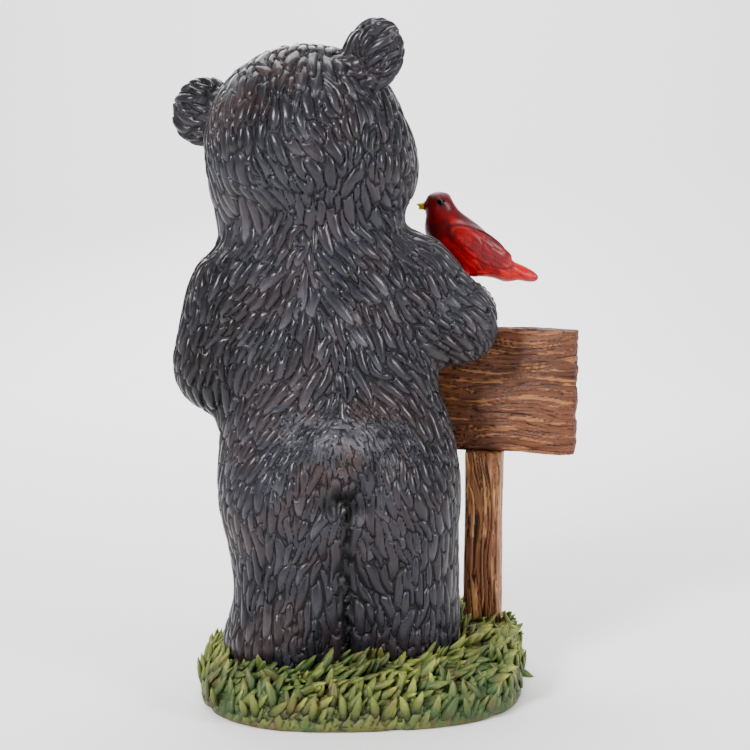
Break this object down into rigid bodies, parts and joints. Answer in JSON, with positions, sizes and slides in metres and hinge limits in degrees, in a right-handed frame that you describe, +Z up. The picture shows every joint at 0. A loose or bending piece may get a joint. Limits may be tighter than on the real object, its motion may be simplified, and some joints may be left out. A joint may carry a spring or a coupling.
{
  "type": "painted resin bear garden statue",
  "caption": "Garden statue of a standing bear with carved fur, turning its head to a red bird on its forearm beside a bare sign board on a post, on an oval grass base.",
  "frame": {"origin": "centre of the flat underside of the grass base", "axes": "+Z up, the bear faces -Y, its right side with the sign and the bird is -X"},
  "size_m": [0.2456, 0.1681, 0.3944],
  "materials": {
    "painted_fur": "hand-painted charcoal resin, dark grooves, grey dry-brushed strokes with a soft satin sheen",
    "painted_grass": "hand-painted olive and dark green resin, dry-brushed yellow-green tips",
    "painted_post": "hand-painted orange-brown resin wood grain, dark grooves",
    "painted_board": "hand-painted mid-brown resin wood grain, golden-tan raised grain",
    "painted_bird": "glossy red paint with dark maroon head and wing edges, yellow beak"
  },
  "bodies": {
    "root": {"bear": "painted_fur", "grass_base": "painted_grass", "sign_post": "painted_post", "sign_board": "painted_board", "bird": "painted_bird"}
  },
  "joints": []
}
